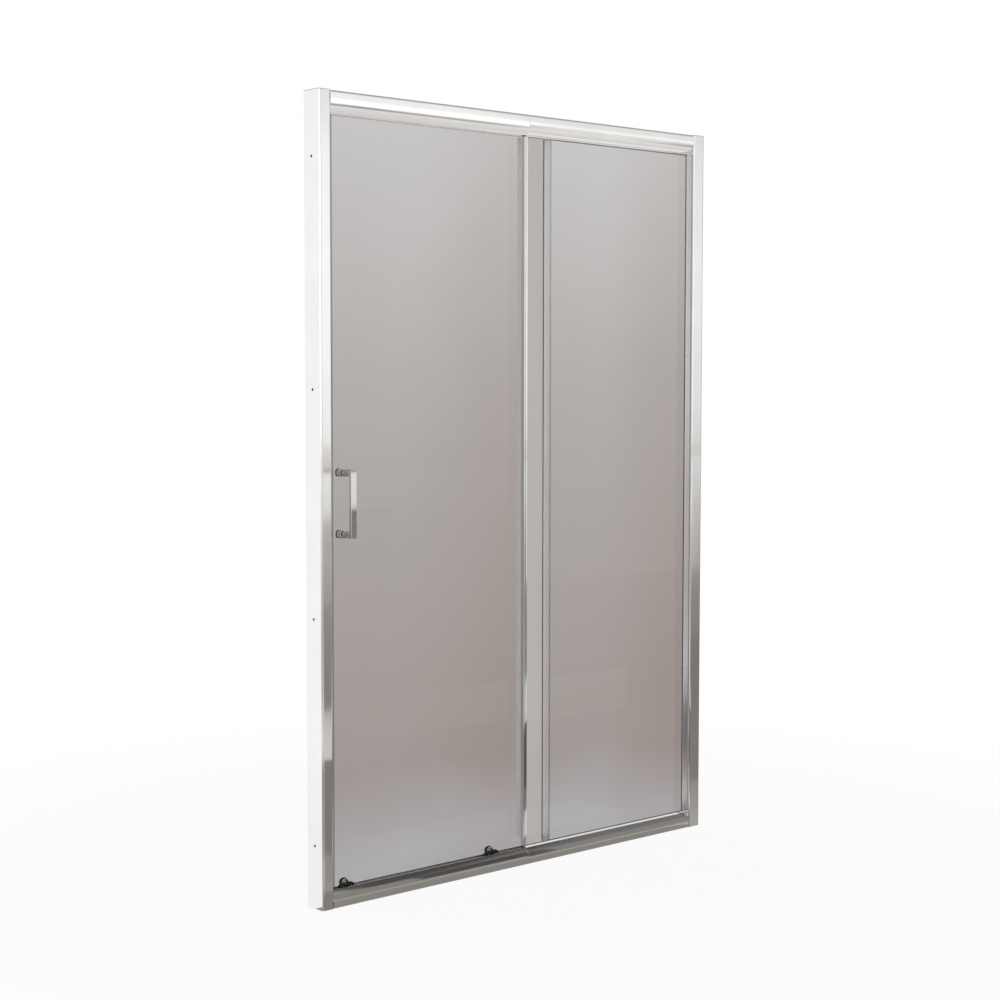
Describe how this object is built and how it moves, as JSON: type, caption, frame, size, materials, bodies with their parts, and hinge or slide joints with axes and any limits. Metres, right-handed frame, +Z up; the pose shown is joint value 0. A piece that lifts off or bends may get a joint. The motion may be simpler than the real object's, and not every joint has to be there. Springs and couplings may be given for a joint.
{
  "type": "sliding shower door",
  "caption": "Framed sliding shower door with a fixed pane, a sliding pane on rollers, clipped rail covers and a bar handle.",
  "frame": {"origin": "middle of the bottom rail's underside, half way through the frame's depth", "axes": "+X along the door towards the fixed side, -Y to the room and handle side, +Z up"},
  "size_m": [1.3, 0.0728, 1.9],
  "materials": {
    "anodised": "pale silver anodised, satin",
    "polished": "bright polished",
    "clear_glass": "clear toughened glass",
    "grey_plastic": "moulded grey",
    "seal": "soft grey strip",
    "magnet": "grey magnetic strip",
    "black_rubber": "soft black",
    "black_plastic": "moulded black",
    "wheel_plastic": "hard nylon",
    "chrome": "polished chrome plate",
    "steel": "zinc plated"
  },
  "bodies": {
    "frame": {"wall_channel_left": "anodised", "wall_channel_right": "anodised", "jamb_left": "anodised", "jamb_right": "anodised", "top_rail": "anodised", "bottom_rail": "anodised", "fixed_edge_profile": "anodised", "top_cover_left": "polished", "top_cover_right": "polished", "bottom_cover_left": "polished", "bottom_cover_right": "polished", "fixed_glass": "clear_glass", "channel_caps": "grey_plastic", "screw_caps": "grey_plastic", "fixed_edge_seal": "seal", "glazing_gasket_top": "seal", "glazing_gasket_bottom": "seal", "glazing_gasket_side": "seal", "strike_magnet": "magnet", "travel_stops": "black_rubber", "corner_screws": "steel", "channel_screws": "steel"},
    "door": {"sliding_glass": "clear_glass", "leading_profile": "anodised", "leading_magnet": "magnet", "trailing_profile": "anodised", "top_carriage_left": "black_plastic", "top_carriage_right": "black_plastic", "top_axles": "steel", "eccentric_bushes": "steel", "roller_bolts": "chrome", "glass_washers": "black_rubber", "roller_base_left": "black_plastic", "roller_base_right": "black_plastic", "release_spring_left": "steel", "release_spring_right": "steel", "handle_bar": "chrome", "handle_posts": "chrome", "handle_collars": "chrome", "handle_rings": "black_rubber", "handle_screws": "steel", "handle_backs": "chrome"},
    "carrier_left": {"roller_carrier_left": "black_plastic", "release_knob_left": "chrome", "carrier_axles_left": "steel"},
    "carrier_right": {"roller_carrier_right": "black_plastic", "release_knob_right": "chrome", "carrier_axles_right": "steel"},
    "top_wheel_a": {"top_wheel_a": "wheel_plastic"},
    "top_wheel_b": {"top_wheel_b": "wheel_plastic"},
    "top_wheel_c": {"top_wheel_c": "wheel_plastic"},
    "top_wheel_d": {"top_wheel_d": "wheel_plastic"},
    "bottom_wheel_a": {"bottom_wheel_a": "wheel_plastic"},
    "bottom_wheel_b": {"bottom_wheel_b": "wheel_plastic"},
    "bottom_wheel_c": {"bottom_wheel_c": "wheel_plastic"},
    "bottom_wheel_d": {"bottom_wheel_d": "wheel_plastic"}
  },
  "joints": [
    {"name": "door_slide", "type": "slide", "parent": "frame", "child": "door", "axis": [1, 0, 0], "range_m": [0, 0.484]},
    {"name": "top_wheel_a_turn", "type": "hinge", "parent": "door", "child": "top_wheel_a", "pos_m": [-0.5725, 0.002, 1.8713], "axis": [0, 1, 0], "continuous": true},
    {"name": "top_wheel_b_turn", "type": "hinge", "parent": "door", "child": "top_wheel_b", "pos_m": [-0.5405, 0.002, 1.8713], "axis": [0, 1, 0], "continuous": true},
    {"name": "top_wheel_c_turn", "type": "hinge", "parent": "door", "child": "top_wheel_c", "pos_m": [-0.1105, 0.002, 1.8713], "axis": [0, 1, 0], "continuous": true},
    {"name": "top_wheel_d_turn", "type": "hinge", "parent": "door", "child": "top_wheel_d", "pos_m": [-0.0785, 0.002, 1.8713], "axis": [0, 1, 0], "continuous": true},
    {"name": "carrier_left_lift", "type": "slide", "parent": "door", "child": "carrier_left", "axis": [0, 0, 1], "range_m": [0, 0.0035], "stiffness_N_per_m": 1500, "springref_m": -0.006, "deforming": ["release_spring_left"]},
    {"name": "carrier_right_lift", "type": "slide", "parent": "door", "child": "carrier_right", "axis": [0, 0, 1], "range_m": [0, 0.0035], "stiffness_N_per_m": 1500, "springref_m": -0.006, "deforming": ["release_spring_right"]},
    {"name": "bottom_wheel_a_turn", "type": "hinge", "parent": "carrier_left", "child": "bottom_wheel_a", "pos_m": [-0.5685, 0.002, 0.037], "axis": [0, 1, 0], "continuous": true},
    {"name": "bottom_wheel_b_turn", "type": "hinge", "parent": "carrier_left", "child": "bottom_wheel_b", "pos_m": [-0.5445, 0.002, 0.037], "axis": [0, 1, 0], "continuous": true},
    {"name": "bottom_wheel_c_turn", "type": "hinge", "parent": "carrier_right", "child": "bottom_wheel_c", "pos_m": [-0.1065, 0.002, 0.037], "axis": [0, 1, 0], "continuous": true},
    {"name": "bottom_wheel_d_turn", "type": "hinge", "parent": "carrier_right", "child": "bottom_wheel_d", "pos_m": [-0.0825, 0.002, 0.037], "axis": [0, 1, 0], "continuous": true}
  ],
  "couplings": [
    {"joint": "top_wheel_a_turn", "follows": "door_slide", "rad_per_m": 105.26},
    {"joint": "top_wheel_b_turn", "follows": "door_slide", "rad_per_m": 105.26},
    {"joint": "top_wheel_c_turn", "follows": "door_slide", "rad_per_m": 105.26},
    {"joint": "top_wheel_d_turn", "follows": "door_slide", "rad_per_m": 105.26},
    {"joint": "bottom_wheel_a_turn", "follows": "door_slide", "rad_per_m": 125},
    {"joint": "bottom_wheel_b_turn", "follows": "door_slide", "rad_per_m": 125},
    {"joint": "bottom_wheel_c_turn", "follows": "door_slide", "rad_per_m": 125},
    {"joint": "bottom_wheel_d_turn", "follows": "door_slide", "rad_per_m": 125}
  ]
}
